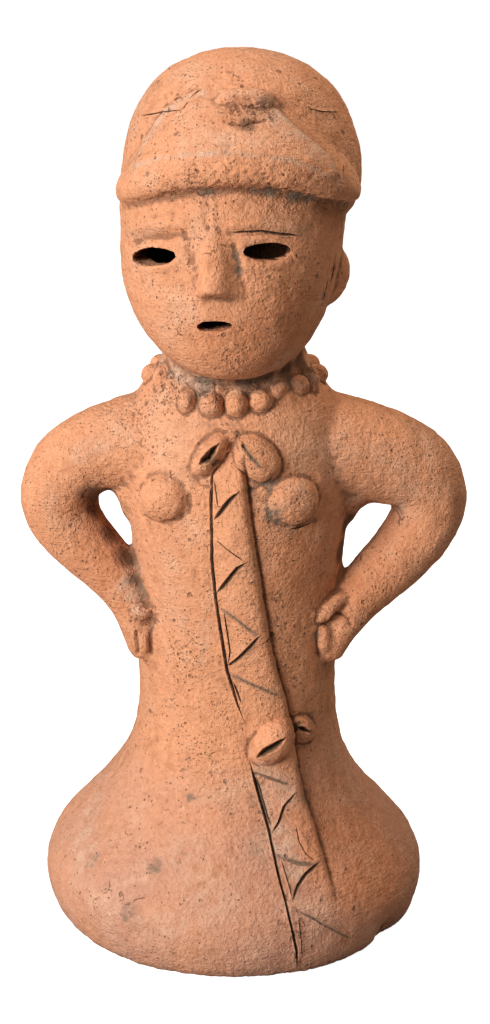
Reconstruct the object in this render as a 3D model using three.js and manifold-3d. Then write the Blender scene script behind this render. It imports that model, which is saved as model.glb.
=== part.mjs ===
// A haniwa figure: a woman in a long coat with her hands on her hips, coiled hollow in red clay
// and fired in one piece. Everything on it is clay of the same body, pressed on or cut in before
// the firing, so it is one solid: an open-bottomed shell with the eyes and the mouth cut through.
//
// Millimetres, +Z up, the figure faces -Y, and the origin is on the ground under its middle.
// "Left" and "right" are the figure's own: its right arm is on the -X side.

import * as THREE from 'three';
import { mergeVertices } from 'three/addons/utils/BufferGeometryUtils.js';
import Module from 'manifold-3d';

const wasm = await Module();
wasm.setup();

// ---- driving dimensions ------------------------------------------------------------------

const wall = 8;               // thickness of the coiled wall
const hemRadius = 92;         // the foot ring, where the skirt turns in to the ground
const skirtRadius = 100.5;     // widest ring of the skirt
const waistRadius = 50.5;
const chestRadius = 60;
const neckRadius = 34.5;
const neckHeight = 296;       // where the neck meets the jaw
const headHeight = 372;       // the middle of the head
const domeTop = 76.5;           // top of the hair above the middle of the head
const faceTurn = -12;         // degrees, towards the figure's right
const headTilt = -5;          // degrees, leaning back
const shift = -4;             // the body stands left of the middle of its box: one arm reaches further

// ---- making solids from three.js geometry ------------------------------------------------

function solidOf(geometry) {
  const bare = geometry.index ? geometry.toNonIndexed() : geometry.clone();
  bare.deleteAttribute('normal');
  bare.deleteAttribute('uv');
  const merged = mergeVertices(bare, 1e-3);
  const mesh = new wasm.Mesh({
    numProp: 3,
    vertProperties: merged.attributes.position.array,
    triVerts: new Uint32Array(merged.index.array),
  });
  return new wasm.Manifold(mesh);
}

// Moves every vertex of a geometry to where place(vertex) says.
function reshaped(geometry, place) {
  const position = geometry.attributes.position;
  for (let i = 0; i < position.count; i += 1) {
    const to = place(new THREE.Vector3().fromBufferAttribute(position, i));
    position.setXYZ(i, to.x, to.y, to.z);
  }
  return geometry;
}

// A closed tube of unit radius along Y, with ring i at height i, and flat ends.
function sleeve(rings, around) {
  const profile = [new THREE.Vector2(0, 0)];
  for (let i = 0; i < rings; i += 1) profile.push(new THREE.Vector2(1, i));
  profile.push(new THREE.Vector2(0, rings - 1));
  return new THREE.LatheGeometry(profile, around);
}

// A smooth run through rows of numbers, by row number.
function smoothRows(rows) {
  const width = rows[0].length;
  const run = new THREE.CubicInterpolant(rows.map((row, i) => i), rows.flat(), width);
  return (at) => Array.from(run.evaluate(at));
}

// Stacked sections, each row [height, half width, front y, back y, middle x]. Over 2, squareness
// flattens the sides of a section.
function loft(rows, { rings, around, squareness = 2 }) {
  const run = smoothRows(rows);
  const rounding = 2 / squareness;
  return reshaped(sleeve(rings, around), (v) => {
    const [height, halfWidth, front, back, middle] = run((v.y / (rings - 1)) * (rows.length - 1));
    const across = Math.sign(v.x) * Math.abs(v.x) ** rounding;
    const along = Math.sign(v.z) * Math.abs(v.z) ** rounding;
    return new THREE.Vector3(
      middle + across * halfWidth,
      (front + back) / 2 - along * (back - front) / 2,
      height,
    );
  });
}

// A rolled piece of clay along a smooth path, each stop [x, y, z, radius].
function roll(stops, { rings = 8, around = 10, flat = 1 } = {}) {
  const spine = new THREE.CatmullRomCurve3(
    stops.map(([x, y, z]) => new THREE.Vector3(x, y, z)), false, 'centripetal',
  );
  const radius = smoothRows(stops.map((stop) => [stop[3]]));
  const frames = spine.computeFrenetFrames(rings - 1);
  return reshaped(sleeve(rings, around), (v) => {
    const ring = Math.round(v.y);
    const t = ring / (rings - 1);
    const r = radius(t * (stops.length - 1))[0];
    return spine.getPoint(t)
      .addScaledVector(frames.normals[ring], v.z * r)
      .addScaledVector(frames.binormals[ring], v.x * r * flat);
  });
}

// An ellipsoid of clay at a point, turned by Euler angles in degrees.
function lump([x, y, z], [rx, ry, rz], turn = [0, 0, 0], fineness = 10) {
  const [ax, ay, az] = turn.map(THREE.MathUtils.degToRad);
  const place = new THREE.Matrix4().compose(
    new THREE.Vector3(x, y, z),
    new THREE.Quaternion().setFromEuler(new THREE.Euler(ax, ay, az, 'ZYX')),
    new THREE.Vector3(rx, ry, rz),
  );
  return new THREE.SphereGeometry(1, fineness, Math.round(fineness * 0.7)).applyMatrix4(place);
}

function union(geometries) {
  return geometries.map(solidOf).reduce((whole, piece) => whole.add(piece));
}

// ---- the coat: skirt, waist, chest and neck ------------------------------------------------

const coatRows = [
  [0, hemRadius, -hemRadius + 2, hemRadius - 2, -1],
  [5, hemRadius + 5, -hemRadius - 3, hemRadius + 3, -1],
  [20, skirtRadius, -skirtRadius + 2, skirtRadius - 2, -1.5],
  [36, skirtRadius - 3.5, -skirtRadius + 6, skirtRadius - 6, -2],
  [56, 79.5, -76.5, 76.5, -2.5],
  [78, 61.5, -58.5, 58.5, -1.5],
  [100, waistRadius + 2.5, -49.5, 49.5, 0],
  [122, waistRadius, -46.5, 46.5, 0.5],
  [155, waistRadius + 1, -45.5, 45.5, 0.5],
  [190, waistRadius + 4, -46, 46, 1.5],
  [225, chestRadius - 0.5, -46.5, 46.5, 0.5],
  [250, chestRadius - 3, -45, 45, 0],
  [268, 52, -41, 41, 0],
  [280, 45, -38.5, 38.5, 0],
  [289, 38, -35.5, 36, -0.5],
  [neckHeight, neckRadius, -neckRadius, neckRadius, -1],
  [neckHeight + 20, neckRadius, -neckRadius, neckRadius, -1],
];

const hollowRows = [
  [-2, hemRadius - wall, -hemRadius + wall + 2, hemRadius - wall - 2, -1],
  [20, skirtRadius - wall, -skirtRadius + wall + 2, skirtRadius - wall - 2, -1.5],
  [38, skirtRadius - wall - 7, -skirtRadius + wall + 9, skirtRadius - wall - 9, -2],
  [60, 66, -63, 63, -2.5],
  [84, 48, -46, 46, -1],
  [110, waistRadius - wall, -39, 39, 0],
  [155, waistRadius + 1 - wall, -37.5, 37.5, 0.5],
  [195, waistRadius + 4 - wall, -38, 38, 0.5],
  [232, chestRadius - wall - 3, -37.5, 37.5, 0],
  [256, 44, -34, 34, 0],
  [276, neckRadius - wall + 2, -neckRadius + wall, neckRadius - wall, 0],
  [neckHeight + 12, neckRadius - wall, -neckRadius + wall, neckRadius - wall, -1],
];

// A point on the coat at an angle from the front and a height, raised by some height off it.
const coatWidths = new THREE.CubicInterpolant(
  coatRows.map((row) => row[0]),
  coatRows.flatMap(([, half, front, , middle]) => [half, -front, middle]),
  3,
);
function onCoat(angle, height, raised = 0) {
  const place = (a, h) => {
    const [halfWidth, halfDepth, middle] = coatWidths.evaluate(h);
    return new THREE.Vector3(middle + halfWidth * Math.sin(a), -halfDepth * Math.cos(a), h);
  };
  const a = THREE.MathUtils.degToRad(angle);
  const here = place(a, height);
  const sideways = place(a + 0.01, height).sub(here);
  const upwards = place(a, height + 0.5).sub(here);
  return here.addScaledVector(sideways.cross(upwards).normalize(), raised);
}

// ---- the coat's overlap: a strip with zigzag cuts, from the collar to the hem --------------------

// Each row: height, angle of the cut line on the strip's right-hand edge, angle of its raised edge.
const stripRows = [
  [266, -3, 4],
  [252, -12, 5],
  [225, -11.5, 8],
  [194, -9.8, 13.5],
  [162, -7, 20.5],
  [130, 0, 29],
  [107, 5.5, 31],
  [85, 8.5, 31.8],
  [65, 11.8, 31.6],
  [44, 15, 32],
  [24, 17, 32],
  [6, 19, 32],
];
const stripEdges = smoothRows(stripRows);
const stripThickness = 3.2;

function strip() {
  const steps = 18;
  const bar = new THREE.BoxGeometry(1, 1, 1, 2, 1, steps).translate(0.5, 0.5, 0.5);
  return reshaped(bar, (v) => {
    const [height, cutEdge, raisedEdge] = stripEdges(v.z * (stripRows.length - 1));
    const fading = THREE.MathUtils.smoothstep(height, 10, 60);
    const top = (0.3 + (stripThickness - 0.3) * v.x ** 0.7) * (0.15 + 0.85 * fading);
    const angle = THREE.MathUtils.lerp(cutEdge, raisedEdge, v.x);
    return onCoat(angle, height, v.y < 0.5 ? -wall / 2 : top);
  });
}

// The cuts, each from [share across the strip, height] to [share across, height].
const zigzag = [
  [0.05, 222, 0.85, 240],
  [0.05, 218, 0.95, 206],
  [0.05, 187, 0.95, 203],
  [0.05, 181, 0.92, 167],
  [0.08, 148, 0.92, 166],
  [0.05, 144, 0.9, 133],
  [0.1, 95, 0.9, 88],
  [0.12, 67, 0.95, 83],
  [0.05, 59, 0.85, 53],
  [0.1, 39, 0.9, 53],
  [0.15, 36, 1.1, 17],
];
const cutWidth = 2.6;
const cutDepth = 2;

function angleAcross(share, height) {
  const row = stripRows.findIndex((next) => next[0] <= height);
  const [above, below] = [stripRows[row - 1], stripRows[row]];
  const t = (above[0] - height) / (above[0] - below[0]);
  const [, cutEdge, raisedEdge] = stripEdges(row - 1 + t);
  return THREE.MathUtils.lerp(cutEdge, raisedEdge, share);
}

function cut([fromShare, fromHeight, toShare, toHeight]) {
  const stops = [0, 0.5, 1].map((t) => {
    const share = THREE.MathUtils.lerp(fromShare, toShare, t);
    const height = THREE.MathUtils.lerp(fromHeight, toHeight, t);
    const surface = 0.3 + (stripThickness - 0.3) * Math.max(share, 0) ** 0.7;
    const at = onCoat(angleAcross(share, height), height, surface - cutDepth + cutWidth / 2);
    return [at.x, at.y, at.z, t === 0.5 ? cutWidth / 2 + 0.4 : cutWidth / 2 - 0.3];
  });
  return roll(stops, { rings: 3, around: 5 });
}

function stripCuts() {
  return zigzag.map(cut);
}

// ---- bows, breasts and necklace ----------------------------------------------------------------

// A ribbon loop pressed on the coat: where its knot end and far end lie, each [angle, height].
const bowLoops = [
  { knot: [-2.5, 267], end: [-19, 247], width: 7.5, thick: 5.5 },
  { knot: [0, 266], end: [18.5, 247], width: 8.5, thick: 5.5 },
  { knot: [29.5, 114], end: [10, 101], width: 8, thick: 6 },
  { knot: [33, 113], end: [46, 110], width: 7, thick: 5 },
];

function loopFrame({ knot, end }) {
  const from = onCoat(knot[0], knot[1], 3);
  const to = onCoat(end[0], end[1], 3);
  const middle = from.clone().add(to).multiplyScalar(0.5);
  const along = to.clone().sub(from);
  const out = onCoat((knot[0] + end[0]) / 2, (knot[1] + end[1]) / 2, 10)
    .sub(onCoat((knot[0] + end[0]) / 2, (knot[1] + end[1]) / 2, 0)).normalize();
  const side = out.clone().cross(along).normalize();
  const straightOut = along.clone().normalize().cross(side);
  const basis = new THREE.Matrix4()
    .makeBasis(along.clone().normalize(), side, straightOut).setPosition(middle);
  return { basis, length: along.length() };
}

function bowLoop(loop) {
  const { basis, length } = loopFrame(loop);
  const ball = new THREE.SphereGeometry(1, 10, 7).scale(length / 2 + 3, loop.width, loop.thick);
  return ball.applyMatrix4(basis);
}

function bowSlit(loop) {
  const { basis, length } = loopFrame(loop);
  return new THREE.SphereGeometry(1, 7, 4).scale(length * 0.36, 1.5, 4)
    .translate(1, 0, loop.thick).applyMatrix4(basis);
}

const breasts = [
  { at: [-38, 234.5], halfWidth: 13, halfHeight: 12.5, proud: 9 },
  { at: [30, 233.5], halfWidth: 15.5, halfHeight: 12.5, proud: 7 },
];

function breast({ at, halfWidth, halfHeight, proud }) {
  const centre = onCoat(at[0], at[1], 0);
  return lump(centre.toArray(), [halfWidth, proud, halfHeight], [0, 0, at[0]], 10);
}

// Beads pressed round the foot of the neck, lower in front than behind.
const beadCount = 19;
const beadRadius = 6;

function bead(i) {
  const angle = i * (360 / beadCount);
  const a = THREE.MathUtils.degToRad(angle);
  const height = 286.5 - 4 * Math.cos(a);
  const centre = [Math.sin(a) * 41 - 1, -Math.cos(a) * 39.5, height];
  return lump(centre, [beadRadius, 4.6, beadRadius], [0, 0, angle], 7);
}

// ---- arms and hands -----------------------------------------------------------------------------

const leftArmStops = [
  [26, 0, 254, 26],
  [57, 1, 250, 25.5],
  [87, 3, 240.5, 23],
  [100.5, 5, 223, 20],
  [96.5, 4, 206, 17.8],
  [83, -1, 192, 16],
  [67, -8, 177, 14.5],
  [53, -16, 161, 12],
  [45, -21, 145, 8],
];

const rightArmStops = [
  [-26, 0, 254, 26],
  [-55, 1, 250.5, 25],
  [-80.5, 3, 241, 23],
  [-92, 6, 225, 20.3],
  [-88.5, 5, 208, 19],
  [-76, 0, 195, 16.8],
  [-60, -8, 181, 14.5],
  [-49, -16, 162, 11],
  [-46, -20, 145, 8],
];

function arm(stops) {
  return roll(stops, { rings: 13, around: 12 });
}

// The fingers lie down the front of each hip, with the thumb on top.
const leftFingers = [
  [[58, -24, 167, 4.5], [51, -31, 161, 5], [43, -36, 156, 4]],
  [[52, -24, 156, 6], [47, -29, 149, 6.5], [45, -30, 142, 4.5]],
];

const rightFingers = [
  [[-52, -26, 166, 4], [-46, -33, 160, 4.5], [-42, -36, 155, 4]],
  [[-49, -24, 155, 6], [-45, -30, 147, 6.5], [-43.5, -31, 139, 4.5]],
];

function fingers(hand) {
  return hand.map((stops) => roll(stops, { rings: 4, around: 6 }));
}

// ---- the head, in its own frame: origin in its middle, face towards -Y --------------------------

const skullRows = [
  [-81, 8, -36, 10, 2],
  [-78, 20, -45, 24, 2],
  [-71, 32, -52, 34, 1],
  [-60, 41, -56.5, 40, -1],
  [-47, 48, -58, 46, -1.5],
  [-30, 53, -59, 51, -1.5],
  [-12, 55, -59, 55, -1],
  [6, 54.5, -58, 58, 0],
  [26, 50, -53, 58, 0],
  [44, 40, -42, 50, 0],
  [56, 20, -20, 30, 0],
];

// The dressed hair, a smooth dome that stands out over the nape and the ears.
const hairRows = [
  [-6, 48, -36, 58, 1],
  [-3, 55, -42, 66, 1.5],
  [5, 58.5, -46, 70, 2],
  [18, 58, -47, 71, 2],
  [34, 55.5, -44.5, 68.5, 2],
  [50, 48.5, -37, 61, 1.5],
  [62, 37.5, -25, 49.5, 1],
  [71, 24, -11, 36, 1],
  [domeTop, 8, 4, 22, 1],
];

const skullHollowRows = [
  [-72, 14, -28, 14, 0],
  [-62, 28, -42, 24, 0],
  [-44, 39, -49, 36, 0],
  [-24, 44.5, -51, 45, 0],
  [4, 45.5, -50, 54, 0],
  [28, 44, -42, 60, 1],
  [50, 34, -25, 48, 1],
  [62, 14, -2, 26, 1],
];

// The fringe: a crescent with an upright face that arches over the brow, and a top that slopes
// back up to the dome.
function fringe() {
  const halfWidth = 57.5;
  const frontY = -65;
  const backY = 34;
  const profile = [[0, 0], [1, 0], [1.03, 6], [1, 15], [0.8, 25.5], [0.5, 37.5], [0.25, 45], [0, 46]]
    .map(([r, h]) => new THREE.Vector2(r, h));
  return reshaped(new THREE.LatheGeometry(profile, 28), (v) => {
    const x = v.x * halfWidth;
    const y = (frontY + backY) / 2 - v.z * (backY - frontY) / 2;
    const arch = 12 * (1 - Math.min(1, (x / halfWidth) ** 2));
    return new THREE.Vector3(x + 1.5, y, v.y + arch - 0.5);
  });
}

const eyes = [
  { at: [-27.5, -50, -21.5], turn: -20, halfLength: 12.2, halfHeight: 4 },
  { at: [26, -50, -19], turn: 22, halfLength: 11, halfHeight: 3.9 },
];
const mouth = { at: [1.5, -58, -53.5], turn: 2, halfLength: 8.2, halfHeight: 2.6 };

function almond({ at, turn, halfLength, halfHeight }) {
  const outline = new THREE.Shape();
  outline.moveTo(-halfLength, 0);
  outline.bezierCurveTo(
    -halfLength, halfHeight * 1.25, halfLength, halfHeight * 1.35, halfLength, 0,
  );
  outline.bezierCurveTo(
    halfLength, -halfHeight * 1.3, -halfLength, -halfHeight * 1.3, -halfLength, 0,
  );
  return new THREE.ExtrudeGeometry(outline, { depth: 40, bevelEnabled: false, curveSegments: 5 })
    .translate(0, 0, -20)
    .rotateX(Math.PI / 2)
    .rotateZ(THREE.MathUtils.degToRad(turn))
    .translate(...at);
}

function nose() {
  return roll([
    [3, -55, 2, 3],
    [4, -57.5, -14, 4.5],
    [5, -59, -28, 7],
    [5.5, -59.5, -39, 9.5],
  ], { rings: 5, around: 10 });
}

function brow(side) {
  return roll([
    [side * 6, -57, -4, 2.5],
    [side * 20, -54.5, -5, 2.8],
    [side * 34, -46, -8, 2.6],
    [side * 43, -37, -12, 1.6],
  ], { rings: 5, around: 6 });
}

function ear(side) {
  return roll([
    [side * 47, 4, -15, 2.5],
    [side * 50.5, 8, -21, 3.6],
    [side * 51.5, 11, -31, 4.2],
    [side * 49, 9, -42, 4.2],
    [side * 42, 2, -50, 3.2],
  ], { rings: 7, around: 7, flat: 1.6 });
}

function knob() {
  return lump([5, -39, 49], [13, 7, 6], [-12, 0, 0], 9);
}

// The hair and the skull face straight ahead; the features are set round to the figure's right.
function onHead(geometries, turn = 0) {
  const frame = new THREE.Matrix4().makeTranslation(0, 0, headHeight)
    .multiply(new THREE.Matrix4().makeRotationZ(THREE.MathUtils.degToRad(turn)))
    .multiply(new THREE.Matrix4().makeRotationX(THREE.MathUtils.degToRad(headTilt)));
  return geometries.map((geometry) => geometry.applyMatrix4(frame));
}

// ---- putting the clay together ------------------------------------------------------------------

const clay = union([
  loft(coatRows, { rings: 22, around: 40 }),
  strip(),
  ...bowLoops.map(bowLoop),
  ...breasts.map(breast),
  ...Array.from({ length: beadCount }, (_, i) => bead(i)),
  arm(leftArmStops), arm(rightArmStops), ...fingers(leftFingers), ...fingers(rightFingers),
  ...onHead([loft(hairRows, { rings: 9, around: 28 }), fringe(), knob()]),
  ...onHead([loft(skullRows, { rings: 11, around: 24, squareness: 2.2 })], faceTurn / 2),
  ...onHead([
    nose(), brow(-1), brow(1), ear(-1), ear(1),
  ], faceTurn),
]);

const hollow = union([
  loft(hollowRows, { rings: 11, around: 20 }),
  ...onHead([loft(skullHollowRows, { rings: 7, around: 16, squareness: 2.2 })], faceTurn / 2),
]);

const cutsThrough = union(onHead([...eyes.map(almond), almond(mouth)], faceTurn));
const cutsIn = union([...stripCuts(), ...bowLoops.map(bowSlit)]);

const fired = clay.subtract(hollow).subtract(cutsThrough).subtract(cutsIn)
  .translate([shift, 0, 0]);

function meshOf(solid, name, material) {
  const { vertProperties, triVerts } = solid.getMesh();
  const geometry = new THREE.BufferGeometry();
  geometry.setAttribute('position', new THREE.BufferAttribute(vertProperties, 3));
  geometry.setIndex(new THREE.BufferAttribute(triVerts, 1));
  geometry.computeVertexNormals();
  const mesh = new THREE.Mesh(geometry, material);
  mesh.name = name;
  return mesh;
}

const terracotta = new THREE.MeshStandardMaterial({
  color: new THREE.Color(0.76, 0.5, 0.36), roughness: 0.92, metalness: 0,
});

const figure = new THREE.Group();
figure.add(meshOf(fired, 'haniwa_figure', terracotta));

export default figure;
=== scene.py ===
from math import cos, pi, radians, sin
import bpy
import numpy as np
from mathutils import Euler, Matrix, Vector


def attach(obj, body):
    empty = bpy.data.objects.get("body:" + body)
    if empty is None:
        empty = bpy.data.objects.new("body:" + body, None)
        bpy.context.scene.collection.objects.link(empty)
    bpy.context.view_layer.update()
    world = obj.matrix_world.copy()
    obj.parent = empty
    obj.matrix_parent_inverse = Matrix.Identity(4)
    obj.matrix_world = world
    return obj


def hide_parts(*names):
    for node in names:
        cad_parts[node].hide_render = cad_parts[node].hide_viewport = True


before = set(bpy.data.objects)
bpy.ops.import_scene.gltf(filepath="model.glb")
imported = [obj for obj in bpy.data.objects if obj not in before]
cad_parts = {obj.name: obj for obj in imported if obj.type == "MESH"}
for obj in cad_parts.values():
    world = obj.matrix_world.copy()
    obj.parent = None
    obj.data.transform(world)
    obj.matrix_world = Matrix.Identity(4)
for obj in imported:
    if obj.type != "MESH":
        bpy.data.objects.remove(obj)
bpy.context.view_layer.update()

mm = 0.001
bodyX = -4 * mm          # the coat stands a little to one side of the box: one arm reaches further
coarse = 1     # tries are made on a coarser skin


def clearSelection():
    if bpy.context.object and bpy.context.object.mode != "OBJECT":
        bpy.ops.object.mode_set(mode="OBJECT")
    bpy.ops.object.select_all(action="DESELECT")


def pick(piece):
    clearSelection()
    piece.select_set(True)
    bpy.context.view_layer.objects.active = piece


def useModifier(piece, kind, **settings):
    pick(piece)
    modifier = piece.modifiers.new(kind, kind)
    for key, value in settings.items():
        setattr(modifier, key, value)
    bpy.ops.object.modifier_apply(modifier=modifier.name)


def remesh(piece, voxel, rounds):
    useModifier(piece, "REMESH", mode="VOXEL", voxel_size=voxel * mm)
    useModifier(piece, "SMOOTH", factor=0.5, iterations=rounds)


def joinAll(pieces, name):
    clearSelection()
    for piece in pieces:
        piece.select_set(True)
    bpy.context.view_layer.objects.active = pieces[0]
    bpy.ops.object.join()
    pieces[0].name = name
    return pieces[0]


# The turn that lays Z along one direction and Y as near as it can to another.
def faced(along, outwards=None):
    along = Vector(along).normalized()
    if outwards is None:
        return along.to_track_quat("Z", "Y").to_matrix()
    across = Vector(outwards).cross(along).normalized()
    return Matrix((across, along.cross(across), along)).transposed()


# A closed skin drawn over rings, each (centre, half width, half depth, turn).
def ringSkin(name, rings, sides, rounding=2):
    clearSelection()
    for index, (centre, halfWidth, halfDepth, turn) in enumerate(rings):
        bpy.ops.mesh.primitive_circle_add(
            vertices=sides, radius=halfWidth, fill_type="NOTHING",
            location=centre, rotation=turn.to_euler())
        if index == 0:
            bpy.ops.object.transform_apply(location=True, rotation=True, scale=True)
            piece = bpy.context.object
            piece.name = name
            bpy.ops.object.mode_set(mode="EDIT")
            bpy.ops.mesh.select_all(action="SELECT")
        bpy.ops.transform.resize(
            value=(1, halfDepth / halfWidth, 1), center_override=centre,
            orient_type="GLOBAL", orient_matrix=turn, orient_matrix_type="GLOBAL")
    bpy.ops.mesh.select_all(action="SELECT")
    bpy.ops.mesh.bridge_edge_loops()
    bpy.ops.mesh.select_all(action="DESELECT")
    bpy.ops.mesh.select_non_manifold()
    bpy.ops.mesh.fill_holes(sides=0)
    bpy.ops.mesh.select_all(action="SELECT")
    bpy.ops.mesh.normals_make_consistent(inside=False)
    bpy.ops.object.mode_set(mode="OBJECT")
    if rounding:
        useModifier(piece, "SUBSURF", levels=rounding, render_levels=rounding)
    return piece


# A rolled piece of clay along stops, each (x, y, z, radius) in mm.
def roll(name, stops, sides, flat=1):
    points = [Vector(stop[:3]) * mm for stop in stops]
    rings = []
    for index, stop in enumerate(stops):
        before = points[max(index - 1, 0)]
        after = points[min(index + 1, len(stops) - 1)]
        rings.append((points[index], stop[3] * mm, stop[3] * mm * flat, faced(after - before)))
    return ringSkin(name, rings, sides)


# A squashed ball, its half sizes in mm.
def lump(name, centre, size, turn):
    clearSelection()
    bpy.ops.mesh.primitive_uv_sphere_add(segments=24, ring_count=12, radius=mm)
    piece = bpy.context.object
    piece.name = name
    piece.scale = size
    piece.rotation_euler = turn.to_euler()
    piece.location = centre
    bpy.ops.object.transform_apply(location=True, rotation=True, scale=True)
    return piece


# the coat, in mm: height, half width, half depth, middle x
coat = {
    "rings": [
        (-4, 88.5, 86.5, -0.5), (0, 92.8, 90.4, -0.5), (4, 96.8, 94.4, -0.5), (11, 99.4, 97.4, -0.8),
        (21, 101, 98.5, -1.5), (32, 99.3, 96.3, -2), (45, 90.6, 87.2, -2.6),
        (58, 77.5, 74.8, -3), (70, 67.4, 64.6, -2.4), (84, 58.4, 55.2, -1),
        (100, 52.6, 49.6, 0.1), (120, 50.4, 47, 0.8), (145, 52, 45.8, -0.2),
        (168, 51.5, 45.6, 0.8), (190, 53, 46, 1.2), (212, 55.4, 46.5, 1.6),
        (232, 59.5, 46.3, 0.3), (250, 57.5, 45, 0), (266, 55, 42, 0),
        (277, 50.5, 39.5, 0), (287, 43.5, 36.5, -0.5), (295, 36.5, 34.8, -0.8),
        (304, 34.5, 34.5, -1), (318, 34, 34.5, -1),
    ],
    "hollow": [
        (-20, 84, 82, -1), (-2, 84.5, 82, -1), (20, 92.5, 90, -1.5), (38, 89, 85, -2),
        (60, 67, 64, -2.5), (84, 49, 46.5, -1), (110, 42.5, 39, 0), (155, 43, 37.5, 0.5),
        (195, 46, 38, 0.8), (232, 48.5, 37.5, 0), (256, 44, 34, 0), (276, 31, 28, 0),
        (296, 26.5, 26.5, -1), (312, 26.5, 26.5, -1),
    ],
    "sides": 32,
}


def makeCoat(name, rows):
    rings = [(Vector((middle, 0, height)) * mm, halfWidth * mm, halfDepth * mm, Matrix.Identity(3))
             for height, halfWidth, halfDepth, middle in rows]
    return ringSkin(name, rings, coat["sides"], 1)


# the arms, in mm: stops x, y, z, radius
arms = {
    "left": [
        (22, 0, 252, 26), (42, 0, 252, 27.7), (61, 1, 248.4, 25.9), (80, 2, 242.8, 24),
        (94.8, 4, 234.8, 22.9), (99.8, 5, 222, 20.8), (97.1, 4, 208.9, 18.5), (89.3, 1.5, 198.6, 17),
        (78.5, -3, 187.5, 15.8), (66, -8.5, 176.7, 14.5), (56, -14, 165.2, 12.1),
        (48.5, -19, 152.5, 9.3), (46, -22, 142, 7),
    ],
    "right": [
        (-22, 0, 252, 26), (-42, 0, 252.6, 26.8), (-59, 1, 251.8, 22.8), (-74, 2, 246.2, 21.2),
        (-87, 4, 236.2, 21.2), (-90.4, 6, 223.8, 21.8), (-88.6, 6, 211.8, 19.9),
        (-81, 3, 200.4, 18), (-69.8, -2, 190.6, 15.9), (-57.8, -8, 179.8, 13.4),
        (-50, -14, 166.6, 11.5), (-47.3, -18, 153.4, 9.6), (-46, -21, 142, 7),
    ],
    # clay filling the armpits: centre, half width, half depth, half height
    "webs": [(-52, 0, 230.5, 10.5, 17, 13.5), (56, 0, 229, 14.5, 17, 12.5),
             (-46, 0, 223, 13.8, 14, 16), (50, 0, 222, 13.2, 14, 16)],
}


# the head, in mm about its own middle: height, half width, front y, back y, middle x
head = {
    "height": 372, "tilt": -5, "faceTurn": -12,
    "skull": [
        (-82, 10, -38, 8, 1.5), (-79, 21, -45.5, 22, 1.2), (-74, 30.5, -51.5, 31, 0.6),
        (-66, 38.5, -55.5, 37, -0.7), (-57, 44.3, -57.5, 42, -1.8), (-46, 49.3, -58.8, 46, -2.3),
        (-32, 53.3, -59.6, 51, -2), (-16, 55, -59.5, 55, -1.2), (0, 55.3, -58.5, 57, -0.8),
        (16, 53, -56, 58, 0), (34, 46, -48, 54, 0), (50, 32, -34, 42, 0),
    ],
    "skullHollow": [
        (-76, 8, -18, 8, 0), (-72, 18, -32, 18, 0), (-62, 29, -43, 24, 0), (-44, 40, -50, 36, 0),
        (-24, 45, -52, 45, 0), (4, 46, -50, 54, 0), (28, 44, -41, 60, 1), (50, 34, -25, 48, 1),
        (60, 20, -10, 34, 1),
    ],
    "hair": [
        (-9, 48, -34, 58, 1.5), (-6, 53, -40, 64, 2), (0, 57.3, -44, 69, 2.4),
        (8, 59.6, -46.5, 71, 2.8), (20, 59.6, -47, 71.5, 3.2), (34, 57.2, -45, 69, 3.4),
        (48, 51.6, -39, 63, 3.2), (58.5, 43.6, -31, 54, 3.2), (67, 32.5, -19, 43, 3),
        (72.3, 19, -6, 30, 2), (74.4, 8, 5, 19, 1.5),
    ],
    # share of the crescent's radius, height
    "fringe": [
        (0.55, -1), (0.9, -0.5), (0.99, 1.5), (1.02, 6), (1.01, 11), (0.975, 15), (0.88, 20.5),
        (0.72, 28.5), (0.5, 37.5), (0.25, 45),
    ],
    "fringeMiddle": 1.5, "fringeHalfWidth": 58, "fringeFront": -65, "fringeBack": 34,
    "fringeArch": 12,
}


def headPlace(turn):
    return (Matrix.Translation((0, 0, head["height"] * mm))
            @ Matrix.Rotation(radians(turn), 4, "Z")
            @ Matrix.Rotation(radians(head["tilt"]), 4, "X"))


def onHead(piece, turn=0):
    pick(piece)
    piece.matrix_world = headPlace(turn) @ piece.matrix_world
    bpy.ops.object.transform_apply(location=True, rotation=True, scale=True)
    return piece


def headSkin(name, rows, sides):
    rings = [(Vector((middle, (front + back) / 2, height)) * mm,
              halfWidth * mm, (back - front) / 2 * mm, Matrix.Identity(3))
             for height, halfWidth, front, back, middle in rows]
    return ringSkin(name, rings, sides, 1)


def valuesOf(items, key, width, kind=float):
    values = np.empty(len(items) * width, dtype=kind)
    items.foreach_get(key, values)
    return values.reshape(-1, width)


def spotsOf(piece):
    return valuesOf(piece.data.vertices, "co", 3)


def normalsOf(piece):
    return valuesOf(piece.data.vertices, "normal", 3)


def moveTo(piece, spots):
    piece.data.vertices.foreach_set("co", spots.ravel())
    piece.data.update()


def makeFringe():
    front, back, middle = head["fringeFront"], head["fringeBack"], head["fringeMiddle"]
    rings = [(Vector((middle, (front + back) / 2, height)) * mm,
              head["fringeHalfWidth"] * share * mm, (back - front) / 2 * share * mm,
              Matrix.Identity(3))
             for share, height in head["fringe"]]
    fringe = ringSkin("fringe", rings, 48, 1)
    spots = spotsOf(fringe)
    across = (spots[:, 0] / mm - middle) / head["fringeHalfWidth"]
    spots[:, 2] += head["fringeArch"] * mm * (1 - np.minimum(1, across ** 2))
    moveTo(fringe, spots)
    return fringe


def makeWebs():
    return [lump("web", Vector((x, y, z)) * mm, size, Matrix.Identity(3))
            for x, y, z, *size in arms["webs"]]


masses = makeWebs() + [
    makeCoat("coat", coat["rings"]),
    roll("leftArm", arms["left"], 20),
    roll("rightArm", arms["right"], 20),
    onHead(headSkin("skull", head["skull"], 32), head["faceTurn"] / 2),
    onHead(headSkin("hair", head["hair"], 32)),
    onHead(makeFringe()),
]
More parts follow.
